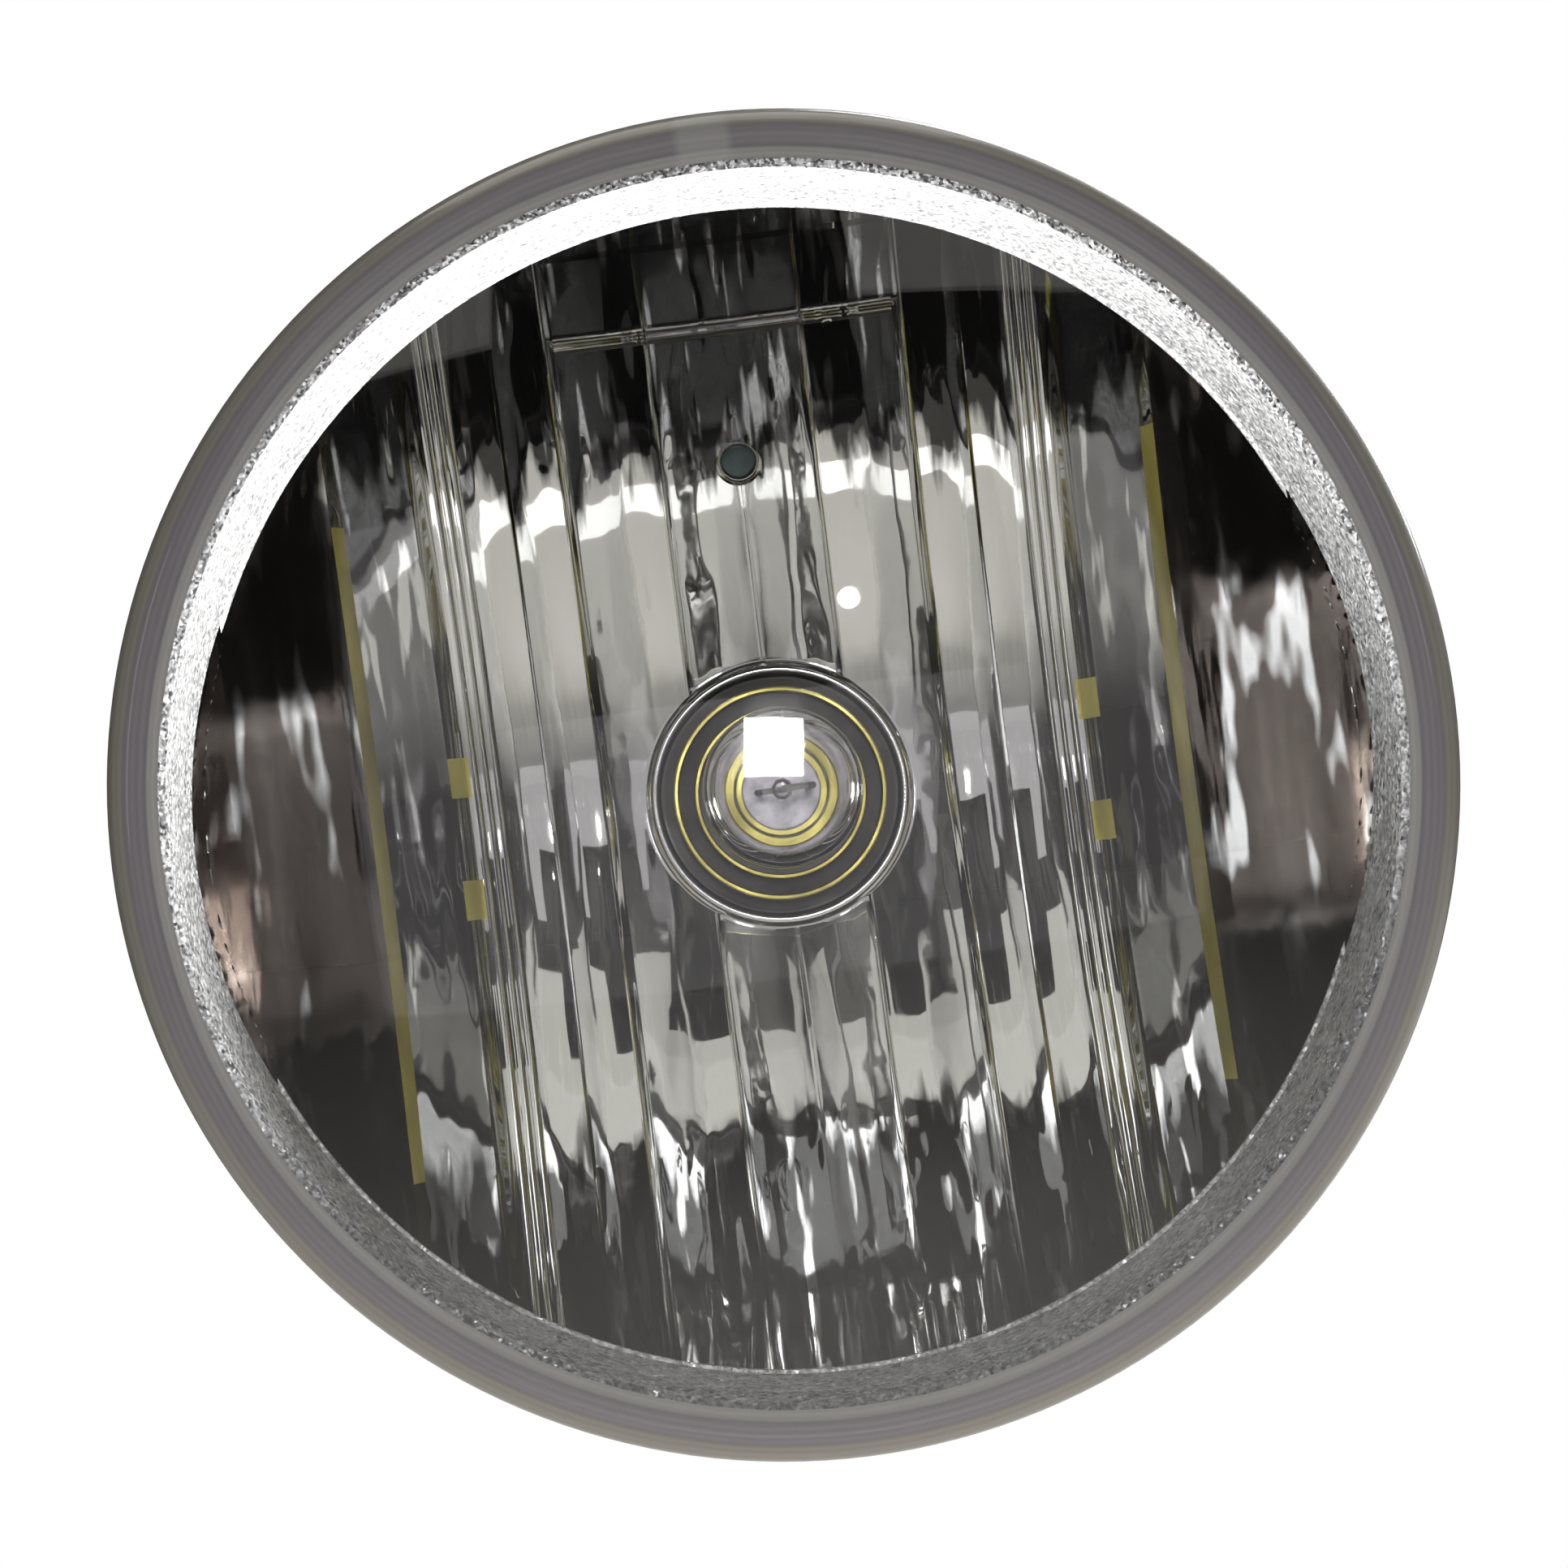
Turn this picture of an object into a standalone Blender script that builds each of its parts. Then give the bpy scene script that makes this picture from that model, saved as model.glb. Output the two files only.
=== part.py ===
"""Round front fog light with a clear lens, a fluted mirror reflector, a bayonet halogen bulb and a tilting bracket.

The frame is metres with +Z up. The lamp shines along -Y. The origin is on the optical axis, in the plane of the
bracket's three mounting pads. Depths in the outlines below are millimetres behind the front of the lens rim.
"""

import math

import bmesh
import bpy
from mathutils import Matrix, Vector

MM = 0.001

# Driving sizes, in millimetres.
PAD_DEPTH = 50.0          # the mounting plane, behind the front of the lens rim
RIM_RADIUS = 50.0         # outside of the lens
LENS_DOME_RADIUS = 150.0
LENS_WALL = 2.6
DOME_EDGE = 46.0          # radius where the dome turns into the rounded rim
TONGUE = (47.0, 48.8)     # radii of the lens tongue that sits in the glue channel
TONGUE_END = 10.6
HOUSING_BORE = 46.05
GAP = 0.3                 # air kept between neighbouring solids

MIRROR_RADIUS = 45.5
MIRROR_RIM_DEPTH = 18.5
FOCAL_LENGTH = 20.0
MIRROR_WALL = 2.0
MIRROR_VERTEX = MIRROR_RIM_DEPTH + MIRROR_RADIUS**2 / (4 * FOCAL_LENGTH)
BULB_HOLE = 9.8
BREATHER_HEIGHT = 25.9    # the small hole through the mirror, above the bulb
BREATHER_RADIUS = 1.5
FLUTE_EDGES = (0.0, 5.6, 12.9, 17.7, 22.4)   # from the middle outwards, the same on both sides
FLUTE_SAG = 0.22
MIRROR_EDGE = 46.2        # the mirror's grid runs a little past its rim, and is trimmed round
MIRROR_STEPS = (2, 3, 2, 2, 4, 3, 4)
MIRROR_ROWS = 18
PILLAR = (22.4, 23.6)     # the raised bead that ends the fluted middle
CHEEK_EDGE = 30.2         # where the steep inner cheek meets the shallow outer one
OUTER_CHEEK_SHARE = 0.62  # the outer cheek's depth over the paraboloid's
LEDGE = (34.8, 36.0)      # the step across the top of the middle flutes
LEDGE_RISE = 1.0

PIVOT_DEPTH = 34.0
ARM_INSIDE = 44.6
ARM_OUTSIDE = 47.0
ARM_HALF_WIDTH = 7.0
PLATE = (46.5, 49.0)      # front and back of the bracket's plate
RING = (28.0, 39.0)       # inner and outer radius of the bracket's ring
PAD_CIRCLE = 36.0
PAD_RADIUS = 8.5
PAD_ANGLES = (90, 210, 330)
BOLT_HOLE = 3.3
ADJUSTER_DROP = 43.5      # the adjusting screw, below the optical axis
SCREW_RADIUS = 2.5
NUT_DEPTH = 35.5
NUT_RADIUS = 3.8
LUG = (4.2, 6.7)          # inside and outside of each lug cheek, across the lamp

NECK_RADIUS = 15.6
TAB_ANGLES = (90, 210, 330)
UNLOCK_ANGLE = 40
FILAMENT_DEPTH = 24.1
GLASS_RADIUS = 6.0
VENT = (15.2, 15.2)       # the vent's place, across and up
RIB_ANGLES = (30, 60, 120, 150, 240, 300)

ROUND_STEPS = 48

PARTS = None
CUTTERS = None


def place(x, depth, z):
    """A point given across, behind the lens rim and up, in millimetres, as metres in the part's frame."""
    return Vector((x * MM, (depth - PAD_DEPTH) * MM, z * MM))


def on_circle(radius, degrees):
    angle = math.radians(degrees)
    return radius * math.cos(angle), radius * math.sin(angle)


def material(name, colour, roughness, metallic=0.0):
    made = bpy.data.materials.get(name)
    if made is None:
        made = bpy.data.materials.new(name)
        made.use_nodes = True
        shader = made.node_tree.nodes["Principled BSDF"]
        shader.inputs["Base Color"].default_value = (*colour, 1.0)
        shader.inputs["Roughness"].default_value = roughness
        shader.inputs["Metallic"].default_value = metallic
        made.diffuse_color = (*colour, 1.0)
    return made


CLEAR = ("clear_plastic", (0.86, 0.88, 0.88), 0.05)
SEALANT = ("grey_sealant", (0.34, 0.33, 0.35), 0.7)
HOUSING = ("grey_housing", (0.24, 0.23, 0.22), 0.5)
MIRROR = ("mirror_coat", (0.92, 0.92, 0.90), 0.03, 1.0)
GLASS = ("bulb_glass", (0.92, 0.94, 0.95), 0.02)
GOLD = ("gold_steel", (0.72, 0.60, 0.22), 0.25, 1.0)
TUNGSTEN = ("tungsten", (0.35, 0.34, 0.33), 0.4, 1.0)
CEMENT = ("pinch_seal", (0.55, 0.53, 0.58), 0.4)
BASE = ("bulb_base", (0.04, 0.04, 0.042), 0.4)
RUBBER = ("rubber", (0.05, 0.05, 0.05), 0.8)
TIN = ("tinned_terminal", (0.75, 0.75, 0.73), 0.3, 1.0)
STEEL = ("coated_steel", (0.045, 0.045, 0.048), 0.45, 0.2)
ZINC = ("zinc_plate", (0.68, 0.68, 0.66), 0.3, 1.0)
NYLON = ("nylon", (0.82, 0.80, 0.74), 0.5)


def finish(obj, look, collection=None):
    """Puts an object in its collection, with its material, and shades it smooth up to its sharp edges."""
    collection = collection or PARTS
    for owner in list(obj.users_collection):
        owner.objects.unlink(obj)
    collection.objects.link(obj)
    obj.data.materials.clear()
    if look:
        obj.data.materials.append(material(*look))
    if obj.type == "MESH":
        obj.data.shade_smooth()
        obj.data.set_sharp_from_angle(angle=math.radians(35))
    if collection is CUTTERS:
        obj.hide_render = True
        obj.display_type = "WIRE"
    return obj


def turned(name, outline, look, centre=(0.0, 0.0), steps=ROUND_STEPS, collection=None, solid=False):
    """A turned piece about an axis along Y. The outline is (radius, depth) points; a solid one ends on the axis."""
    points = list(outline)
    area = sum(a[0] * b[1] - b[0] * a[1] for a, b in zip(points, points[1:] + points[:1]))
    if area > 0:
        points.reverse()
    mesh = bpy.data.meshes.new(name)
    edges = [(i, i + 1) for i in range(len(points) - 1)]
    if not solid:
        edges.append((len(points) - 1, 0))
    mesh.from_pydata([(r * MM, depth * MM, 0) for r, depth in points], edges, [])
    obj = bpy.data.objects.new(name, mesh)
    bpy.context.scene.collection.objects.link(obj)
    screw = obj.modifiers.new("turn", "SCREW")
    screw.axis = "Y"
    screw.steps = screw.render_steps = steps
    screw.use_merge_vertices = True
    screw.merge_threshold = 0.00001
    screw.use_smooth_shade = True
    screw.use_normal_calculate = False
    obj.location = place(centre[0], 0, centre[1])
    return finish(obj, look, collection)


def cylinder(name, radius, start, end, look=None, vertices=32, collection=None):
    """A round bar between two (across, depth, up) points in millimetres."""
    first, last = place(*start), place(*end)
    along = last - first
    bpy.ops.mesh.primitive_cylinder_add(vertices=vertices, radius=radius * MM, depth=along.length)
    obj = bpy.context.object
    obj.name = obj.data.name = name
    obj.location = (first + last) / 2
    obj.rotation_euler = along.to_track_quat("Z", "Y").to_euler()
    return finish(obj, look, collection or (PARTS if look else CUTTERS))


def box(name, low, high, look=None, turn=0.0, collection=None):
    """A block between two (across, depth, up) corners in millimetres, turned about the optical axis by degrees."""
    first, last = place(*low), place(*high)
    bpy.ops.mesh.primitive_cube_add(size=1)
    obj = bpy.context.object
    obj.name = obj.data.name = name
    obj.data.transform(Matrix.Diagonal((*(last - first), 1)))
    obj.data.transform(Matrix.Translation((first + last) / 2))
    obj.rotation_euler = (0, -math.radians(turn), 0)
    return finish(obj, look, collection or (PARTS if look else CUTTERS))


def plate(name, outline, half_thickness, look=None, collection=None):
    """A flat piece: a filled 2D curve in the curve's own XY plane, extruded both ways, made a mesh."""
    curve = bpy.data.curves.new(name, "CURVE")
    curve.dimensions = "2D"
    curve.fill_mode = "BOTH"
    curve.extrude = half_thickness * MM
    spline = curve.splines.new("POLY")
    spline.points.add(len(outline) - 1)
    for point, (x, y) in zip(spline.points, outline):
        point.co = (x * MM, y * MM, 0, 1)
    spline.use_cyclic_u = True
    drawn = bpy.data.objects.new(name, curve)
    bpy.context.scene.collection.objects.link(drawn)
    graph = bpy.context.evaluated_depsgraph_get()
    mesh = bpy.data.meshes.new_from_object(drawn.evaluated_get(graph))
    bpy.data.objects.remove(drawn)
    weld(mesh)
    obj = bpy.data.objects.new(name, mesh)
    bpy.context.scene.collection.objects.link(obj)
    return finish(obj, look, collection or (PARTS if look else CUTTERS))


def weld(mesh, distance=0.000001):
    shape = bmesh.new()
    shape.from_mesh(mesh)
    bmesh.ops.remove_doubles(shape, verts=shape.verts, dist=distance)
    bmesh.ops.recalc_face_normals(shape, faces=shape.faces)
    shape.to_mesh(mesh)
    shape.free()


def combine(obj, other, operation):
    modifier = obj.modifiers.new(f"{operation.lower()}_{other.name}", "BOOLEAN")
    modifier.operation = operation
    modifier.solver = "EXACT"
    modifier.object = other
    return obj


def add(obj, *others):
    for other in others:
        combine(obj, other, "UNION")


def cut(obj, *others):
    for other in others:
        combine(obj, other, "DIFFERENCE")


# The lens, its glue and the bright ring behind it.


def dome_depth(radius):
    """Depth of the lens's outer face, zero where the dome meets the rounded rim."""
    edge = math.sqrt(LENS_DOME_RADIUS**2 - DOME_EDGE**2)
    return edge - math.sqrt(LENS_DOME_RADIUS**2 - radius**2)


def make_lens():
    outer = [(DOME_EDGE * i / 7, dome_depth(DOME_EDGE * i / 7)) for i in range(8)]
    rim_width, rim_fall = RIM_RADIUS - DOME_EDGE, 3.4
    for step in range(1, 5):
        angle = math.radians(90 * step / 4)
        outer.append((DOME_EDGE + rim_width * math.sin(angle), rim_fall * (1 - math.cos(angle))))
    tongue = [
        (RIM_RADIUS, 5.6),
        (TONGUE[1], 5.6),
        (TONGUE[1], TONGUE_END),
        (TONGUE[0], TONGUE_END),
        (TONGUE[0], 3.6),
    ]
    under = 45.4
    inner = [(under * i / 7, dome_depth(under * i / 7) + LENS_WALL) for i in range(7, -1, -1)]
    turned("lens", outer + tongue + inner, CLEAR, solid=True)


def make_sealant():
    inside, outside = TONGUE[0] - 0.05, TONGUE[1] + 0.05
    front, back = TONGUE_END + GAP, 12.1
    turned("lens_sealant", [(inside, front), (outside, front), (outside, back), (inside, back)], SEALANT)


def make_bezel():
    outline = [
        (45.45, 4.0),
        (46.5, 4.0),
        (46.5, 4.4),
        (45.75, 4.4),
        (45.75, 17.1),
        (44.7, 17.1),
        (44.7, 16.5),
        (45.1, 16.1),
    ]
    turned("bezel_ring", outline, MIRROR)


# The reflector.


def smooth_step(value, low, high):
    share = min(1.0, max(0.0, (value - low) / (high - low)))
    return share * share * (3 - 2 * share)


def mirror_body_depth(x, z):
    """Depth of the mirror without its flutes: a paraboloid in the middle, a steep inner and a shallow outer cheek."""
    across = abs(x)
    fall = (MIRROR_RADIUS**2 - x * x - z * z) / (4 * FOCAL_LENGTH)
    share = 1.0
    if across > PILLAR[1]:
        run = min(1.0, (across - PILLAR[1]) / (CHEEK_EDGE - PILLAR[1]))
        share = 1.0 - (1.0 - OUTER_CHEEK_SHARE) * (0.6 * run + 0.4 * run * run)
    return MIRROR_RIM_DEPTH + fall * share


def mirror_depth(x, z):
    """Depth of the mirrored face: the body, with concave flutes, the pillar beads and the ledge at the top."""
    depth = mirror_body_depth(x, z)
    across = abs(x)
    for inside, outside in zip(FLUTE_EDGES, FLUTE_EDGES[1:]):
        if inside <= across < outside:
            share = (2 * across - inside - outside) / (outside - inside)
            depth += FLUTE_SAG * (1 - share * share)
    if PILLAR[0] <= across <= PILLAR[1]:
        share = (2 * across - PILLAR[0] - PILLAR[1]) / (PILLAR[1] - PILLAR[0])
        depth -= 0.5 * math.sqrt(max(0.0, 1 - share * share))
    if across < FLUTE_EDGES[2] + 0.01:
        depth -= LEDGE_RISE * smooth_step(z, *LEDGE)
    return depth


def mirror_lines():
    """Where the mirror's grid lines run, across and up: on every edge and once or more between."""
    edges = list(FLUTE_EDGES) + [PILLAR[1], CHEEK_EDGE, MIRROR_EDGE]
    half = set(edges)
    for inside, outside, steps in zip(edges, edges[1:], MIRROR_STEPS):
        half |= {inside + (outside - inside) * step / steps for step in range(1, steps)}
    across = sorted({-x for x in half} | half)
    up = [MIRROR_EDGE * (2 * row / MIRROR_ROWS - 1) for row in range(MIRROR_ROWS + 1)]
    up = sorted([z for z in up if min(abs(z - edge) for edge in LEDGE) > 1.5] + list(LEDGE))
    return across, up


def make_reflector():
    across, up = mirror_lines()
    shape = bmesh.new()
    bmesh.ops.create_grid(shape, x_segments=len(across) - 1, y_segments=len(up) - 1, size=1.0)
    for corner in shape.verts:
        column = round((corner.co.x + 1) / 2 * (len(across) - 1))
        row = round((corner.co.y + 1) / 2 * (len(up) - 1))
        corner.co = (across[column], 0, up[row])
    front = list(shape.verts)
    extruded = bmesh.ops.extrude_face_region(shape, geom=list(shape.faces), use_keep_orig=True)
    for corner in front:
        x, z = corner.co.x, corner.co.z
        corner.co = place(x, mirror_depth(x, z), z)
    for corner in extruded["geom"]:
        if isinstance(corner, bmesh.types.BMVert):
            x, z = corner.co.x, corner.co.z
            corner.co = place(x, mirror_body_depth(x, z) + MIRROR_WALL, z)
    bmesh.ops.recalc_face_normals(shape, faces=shape.faces)
    mesh = bpy.data.meshes.new("reflector")
    shape.to_mesh(mesh)
    shape.free()
    reflector = bpy.data.objects.new("reflector", mesh)
    bpy.context.scene.collection.objects.link(reflector)
    finish(reflector, MIRROR)
    disc = cylinder("reflector_outline", MIRROR_RADIUS, (0, 0, 0), (0, 60, 0), vertices=ROUND_STEPS)
    combine(reflector, disc, "INTERSECT")
    lip_depth = MIRROR_VERTEX - BULB_HOLE**2 / (4 * FOCAL_LENGTH)
    lip = [
        (BULB_HOLE - 0.5, lip_depth - 0.8),
        (BULB_HOLE + 0.7, lip_depth - 0.8),
        (BULB_HOLE + 0.7, lip_depth + 1.2),
        (BULB_HOLE - 0.5, lip_depth + 1.2),
    ]
    add(reflector, turned("bulb_hole_lip", lip, None, steps=32, collection=CUTTERS))
    cut(
        reflector,
        cylinder("bulb_hole", BULB_HOLE, (0, 36, 0), (0, 50, 0)),
        cylinder("breather_hole", BREATHER_RADIUS, (0, 30, BREATHER_HEIGHT), (0, 45, BREATHER_HEIGHT), vertices=16),
    )


# The housing and its vent.


def bowl_depth(radius, vertex):
    return vertex - radius**2 / (4 * FOCAL_LENGTH)


INNER_VERTEX, OUTER_VERTEX = 46.8, 49.2


def bowl_inside():
    """The housing's inner face, from the neck outwards, as (radius, depth) points."""
    return [(r, bowl_depth(r, INNER_VERTEX)) for r in (14, 20, 27, 34, 40, 45)]


def housing_outline():
    channel = [
        (HOUSING_BORE, 4.7),
        (TONGUE[0] - GAP, 4.7),
        (TONGUE[0] - GAP, 12.4),
        (TONGUE[1] + GAP, 12.4),
        (TONGUE[1] + GAP, 5.9),
        (RIM_RADIUS, 5.9),
        (RIM_RADIUS, 14.2),
        (48.4, 15.2),
        (47.8, 20.5),
    ]
    outside = [(r, bowl_depth(r, OUTER_VERTEX)) for r in (46.6, 43, 38, 32, 25, NECK_RADIUS)]
    neck = [
        (NECK_RADIUS, 53.8),
        (13.6, 53.8),
        (13.6, 51.2),
        (10.3, 51.2),
        (10.3, 49.4),
        (12.4, 49.4),
        (12.4, 46.4),
        (10.3, 46.4),
        (10.3, 45.3),
    ]
    return channel + outside + neck + bowl_inside() + [(HOUSING_BORE, 20.6)]


def rib(degrees):
    """A radial rib on the housing's back, drawn in radius and depth, then stood at its angle."""
    radii = [NECK_RADIUS - 1, 22, 29, 35, 40, 44, 46.5]
    inside = [(r, bowl_depth(r, OUTER_VERTEX) - 1.0) for r in radii]
    outside = [(r, bowl_depth(r, OUTER_VERTEX) + 2.2) for r in radii]
    made = plate(f"rib_{degrees}", [(r, depth - PAD_DEPTH) for r, depth in inside + outside[::-1]], 0.8)
    made.rotation_euler = (0, -math.radians(degrees), 0)
    return made


def lug(side, sign):
    """One cheek of the lug that holds the adjuster's nut, drawn in height and depth, then stood on edge."""
    corners = [(-46.0, 20.0), (-49.0, 31.0), (-49.0, 38.0), (-46.5, 40.8), (-38.5, 40.8), (-36.5, 28.0)]
    made = plate(f"lug_{side}", [(z, depth - PAD_DEPTH) for z, depth in corners], (LUG[1] - LUG[0]) / 2)
    made.rotation_euler = (0, -math.radians(90), 0)
    made.location.x = sign * (LUG[0] + LUG[1]) / 2 * MM
    return made


def make_housing():
    housing = turned("housing", housing_outline(), HOUSING)
    for side, sign in (("left", -1), ("right", 1)):
        boss = cylinder(f"boss_{side}", 7.0, (sign * 31.0, PIVOT_DEPTH, 0), (sign * 43.4, PIVOT_DEPTH, 0))
        add(housing, boss, lug(side, sign))
    for degrees in RIB_ANGLES:
        add(housing, rib(degrees))
    hollow = [(0, 15.0), (HOUSING_BORE, 15.0), (HOUSING_BORE, 20.6)] + bowl_inside()[::-1] + [(10.3, 45.3), (0, 45.3)]
    cut(housing, turned("bowl_hollow", hollow, None, collection=CUTTERS, solid=True))
    add(housing, cylinder("vent_nozzle", 2.6, (VENT[0], 42.2, VENT[1]), (VENT[0], 49.9, VENT[1]), vertices=20))
    for side, sign in (("left", -1), ("right", 1)):
        cut(housing, cylinder(f"boss_hole_{side}", 4.3, (sign * 38.1, PIVOT_DEPTH, 0), (sign * 45, PIVOT_DEPTH, 0)))
    nut_seat = cylinder("nut_seat", 4.3, (-9, NUT_DEPTH, -ADJUSTER_DROP), (9, NUT_DEPTH, -ADJUSTER_DROP))
    vent_bore = cylinder("vent_bore", 1.3, (VENT[0], 38, VENT[1]), (VENT[0], 52, VENT[1]), vertices=16)
    cut(housing, nut_seat, vent_bore)
    for degrees in TAB_ANGLES:
        notch = box(f"notch_{degrees}", (9.0, 48.9, -3.7), (12.4, 51.7, 3.7), turn=degrees - UNLOCK_ANGLE)
        cut(housing, notch)


def make_vent():
    cap = [(0, 50.9), (2.9, 50.9), (2.9, 46.2), (4.4, 46.2), (4.4, 51.0), (3.6, 52.0), (0, 52.0)]
    turned("vent_cap", cap, RUBBER, centre=VENT, steps=24, solid=True)
    disc = [(0, 50.2), (2.5, 50.2), (2.5, 50.6), (0, 50.6)]
    turned("vent_membrane", disc, NYLON, centre=VENT, steps=20, solid=True)


# The bulb, which turns in the housing's neck.


def make_glass():
    tip, wall = 10.0, 0.9
    outer = [(0.0, tip)]
    for step in range(1, 6):
        angle = math.radians(90 * step / 5)
        outer.append((GLASS_RADIUS * math.sin(angle), tip + 5.0 * (1 - math.cos(angle))))
    outer.append((GLASS_RADIUS, 39.2))
    inner = [(GLASS_RADIUS - wall, 39.2)]
    for step in range(5, 0, -1):
        angle = math.radians(90 * step / 5)
        inner.append(((GLASS_RADIUS - wall) * math.sin(angle), tip + wall + 4.4 * (1 - math.cos(angle))))
    inner.append((0.0, tip + wall))
    turned("bulb_glass", outer + inner, GLASS, steps=28, solid=True)


def make_collar():
    outline = [
        (7.9, 34.0),
        (8.3, 34.0),
        (8.3, 44.1),
        (6.3, 44.1),
        (6.3, 37.0),
        (6.7, 37.0),
        (6.7, 39.5),
        (7.9, 39.5),
    ]
    turned("bulb_collar", outline, GOLD, steps=32)
    pinch = [(0, 37.5), (4.7, 37.5), (4.7, 43.8), (0, 43.8)]
    turned("pinch_seal", pinch, CEMENT, steps=24, solid=True)


def wire(name, points, radius, look, sides=1):
    """A round wire through (across, depth, up) points in millimetres."""
    curve = bpy.data.curves.new(name, "CURVE")
    curve.dimensions = "3D"
    curve.bevel_depth = radius * MM
    curve.bevel_resolution = sides
    curve.use_fill_caps = True
    spline = curve.splines.new("POLY")
    spline.points.add(len(points) - 1)
    for point, spot in zip(spline.points, points):
        point.co = (*place(*spot), 1)
    obj = bpy.data.objects.new(name, curve)
    bpy.context.scene.collection.objects.link(obj)
    return finish(obj, look)


def make_filament():
    turns, per_turn, length, coil = 7, 9, 4.6, 0.75
    start = FILAMENT_DEPTH - length / 2
    points = []
    for step in range(turns * per_turn + 1):
        angle = 2 * math.pi * step / per_turn
        depth = start + length * step / (turns * per_turn)
        points.append((coil * math.cos(angle), depth, coil * math.sin(angle)))
    wire("filament", points, 0.14, TUNGSTEN)
    root, front, back = 37.2, start - 0.6, start + length + 0.6
    wire("lead_wire_left", [(-2.2, root, 0), (-2.2, back + 1.2, 0), (-1.6, back, 0), (0.5, back, 0)], 0.3, TUNGSTEN)
    wire("lead_wire_right", [(2.6, root, 0), (2.6, front + 1.0, 0), (2.0, front, 0), (0.0, front, 0)], 0.3, TUNGSTEN)


def make_bulb_base():
    outline = [
        (0, 44.4),
        (9.5, 44.4),
        (9.5, 55.2),
        (15.4, 55.2),
        (15.4, 57.4),
        (11.0, 57.4),
        (11.0, 60.0),
        (0, 60.0),
    ]
    base = turned("bulb_base", outline, BASE, steps=40, solid=True)
    for degrees in TAB_ANGLES:
        add(base, box(f"tab_{degrees}", (8.8, 46.8, -2.8), (11.6, 49.1, 2.8), turn=degrees))
    shroud = box("shroud", (-9.5, 57.0, -27.0), (9.5, 69.5, 8.0))
    edge = shroud.modifiers.new("rounded", "BEVEL")
    edge.width = 1.2 * MM
    edge.segments = 2
    add(base, shroud, box("latch_ramp", (-3.0, 69.0, -24.0), (3.0, 71.0, -20.0)))
    cut(base, box("socket", (-7.3, 59.2, -30.0), (7.3, 67.4, -13.0)))
    for side, sign in (("left", -1), ("right", 1)):
        edges = sorted((sign * 3.8, sign * 4.6))
        box(f"terminal_{side}", (edges[0], 61.9, -24.0), (edges[1], 64.7, -13.0 - GAP), TIN)


def make_bulb_seal():
    bpy.ops.mesh.primitive_torus_add(
        major_radius=11.55 * MM, minor_radius=1.5 * MM, major_segments=36, minor_segments=8
    )
    ring = bpy.context.object
    ring.name = ring.data.name = "bulb_seal"
    ring.location = place(0, 53.4, 0)
    ring.rotation_euler = (math.radians(90), 0, 0)
    finish(ring, RUBBER)


# The bracket, its pivots and the aiming screw.


def make_bracket():
    front, back = PLATE
    ring = [(RING[0], front), (RING[1], front), (RING[1], back), (RING[0], back)]
    bracket = turned("mounting_bracket", ring, STEEL)
    for degrees in PAD_ANGLES:
        x, z = on_circle(PAD_CIRCLE, degrees)
        add(bracket, cylinder(f"pad_{degrees}", PAD_RADIUS, (x, front, z), (x, PAD_DEPTH, z)))
    for side, sign in (("left", -1), ("right", 1)):
        inner, outer = sign * ARM_INSIDE, sign * ARM_OUTSIDE
        ear_edges, arm_edges = sorted((sign * 36.0, outer)), sorted((inner, outer))
        add(
            bracket,
            box(f"ear_{side}", (ear_edges[0], front, -ARM_HALF_WIDTH), (ear_edges[1], back, ARM_HALF_WIDTH)),
            box(f"arm_{side}", (arm_edges[0], PIVOT_DEPTH, -ARM_HALF_WIDTH), (arm_edges[1], back, ARM_HALF_WIDTH)),
            cylinder(f"arm_end_{side}", ARM_HALF_WIDTH, (inner, PIVOT_DEPTH, 0), (outer, PIVOT_DEPTH, 0)),
        )
        cut(bracket, cylinder(f"pivot_hole_{side}", 2.9, (sign * 43, PIVOT_DEPTH, 0), (sign * 49, PIVOT_DEPTH, 0)))
    add(bracket, box("adjuster_tab", (-7.5, front, -ADJUSTER_DROP), (7.5, back, -37.0)))
    add(bracket, cylinder("adjuster_end", 7.0, (0, front, -ADJUSTER_DROP + 1.4), (0, back, -ADJUSTER_DROP + 1.4)))
    for degrees in PAD_ANGLES:
        x, z = on_circle(PAD_CIRCLE, degrees)
        cut(bracket, cylinder(f"bolt_hole_{degrees}", BOLT_HOLE, (x, 44, z), (x, 52, z), vertices=24))
    cut(bracket, cylinder("bush_hole", 5.0, (0, 44, -ADJUSTER_DROP), (0, 52, -ADJUSTER_DROP)))


def make_weld_nuts():
    for name, degrees in zip(("top", "left", "right"), PAD_ANGLES):
        x, z = on_circle(PAD_CIRCLE, degrees)
        nut = cylinder(f"weld_nut_{name}", 5.77, (x, 41.2, z), (x, PLATE[0] - GAP, z), ZINC, vertices=6)
        cut(nut, cylinder(f"nut_bore_{name}", 2.6, (x, 40, z), (x, 48, z), vertices=20))


def across_piece(name, outline, look, sign, steps=24):
    """A turned piece about the tilt axis. The outline is (radius, distance from the lamp's middle) points."""
    made = turned(name, [(r, across) for r, across in outline], look, steps=steps, solid=outline[0][0] == 0)
    made.rotation_euler = (0, 0, -sign * math.radians(90))
    made.location = place(0, PIVOT_DEPTH, 0)
    return made


def make_pivots():
    for side, sign in (("left", -1), ("right", 1)):
        pin = [(0, 39.0), (2.6, 39.0), (2.6, 47.3), (4.3, 47.3), (4.3, 48.2), (3.6, 48.7), (0, 48.7)]
        across_piece(f"pivot_pin_{side}", pin, ZINC, sign)
        bush = [(2.9, 38.4), (4.0, 38.4), (4.0, 43.7), (6.0, 43.7), (6.0, 44.3), (2.9, 44.3)]
        across_piece(f"pivot_bush_{side}", bush, NYLON, sign)


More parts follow.
